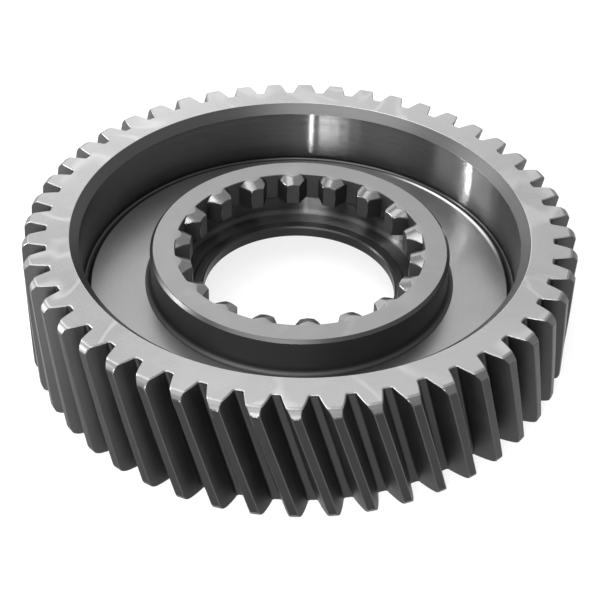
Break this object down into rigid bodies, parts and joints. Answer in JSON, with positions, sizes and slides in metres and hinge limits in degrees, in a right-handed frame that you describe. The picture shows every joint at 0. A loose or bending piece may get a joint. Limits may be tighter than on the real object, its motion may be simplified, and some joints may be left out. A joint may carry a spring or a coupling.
{
  "type": "reduction gear",
  "caption": "Helical steel ring gear with a recessed web, a raised hub with pointed internal clutch teeth, and a bored inner lip.",
  "frame": {"origin": "on the gear's axis, at the bottom face of the rim", "axes": "+Z along the axis, from the bottom face to the recessed face with the clutch teeth; +X through the middle of a clutch tooth"},
  "size_m": [0.2338, 0.2338, 0.056],
  "materials": {
    "steel": "turned and ground steel, brighter on the faces and tooth edges than on the tooth flanks"
  },
  "bodies": {
    "root": {"gear": "steel"}
  },
  "joints": []
}
